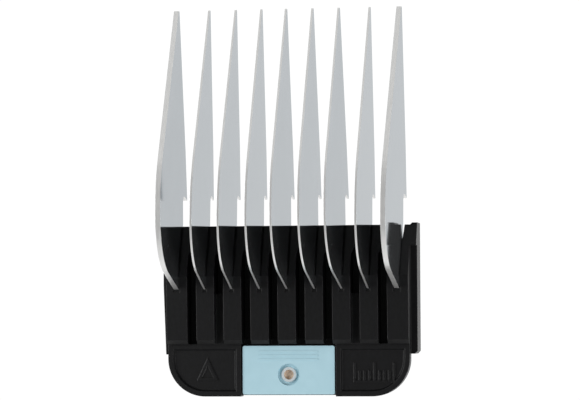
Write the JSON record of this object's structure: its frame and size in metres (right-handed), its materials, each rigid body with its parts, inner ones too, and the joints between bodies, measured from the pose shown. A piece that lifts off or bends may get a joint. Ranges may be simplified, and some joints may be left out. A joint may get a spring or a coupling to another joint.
{
  "type": "clipper guard comb",
  "caption": "Hair clipper attachment comb: steel tines on edge in a ribbed nylon body, with a sprung hook latch pulled by a rear thumb plate.",
  "frame": {"origin": "on the surface it lies on, under the middle of its bounding box, blade side down", "axes": "+X right seen from the skin side with the tips ahead, +Y toward the tips, +Z from the blade side to the skin side"},
  "size_m": [0.052, 0.0783, 0.0287],
  "materials": {
    "nylon": "fine-grained satin moulding",
    "tine_steel": "satin faces with bright ground edges",
    "thumb_plastic": "smooth light blue",
    "hook_steel": "stamped satin",
    "rivet_steel": "bright nickel",
    "spring_steel": "drawn wire"
  },
  "bodies": {
    "comb": {"comb_body": "nylon", "outer_tine_left": "tine_steel", "inner_tine_1": "tine_steel", "inner_tine_2": "tine_steel", "inner_tine_3": "tine_steel", "inner_tine_4": "tine_steel", "inner_tine_5": "tine_steel", "inner_tine_6": "tine_steel", "inner_tine_7": "tine_steel", "outer_tine_right": "tine_steel", "spring_left": "spring_steel", "spring_right": "spring_steel"},
    "latch": {"thumb_plate": "thumb_plastic", "hook_plate": "hook_steel", "latch_rivet": "rivet_steel"}
  },
  "joints": [
    {"name": "latch_pull", "type": "slide", "parent": "comb", "child": "latch", "axis": [0, -1, 0], "range_m": [0, 0.0018], "stiffness_N_per_m": 400, "springref_m": -0.002, "deforming": ["spring_left", "spring_right"]}
  ]
}
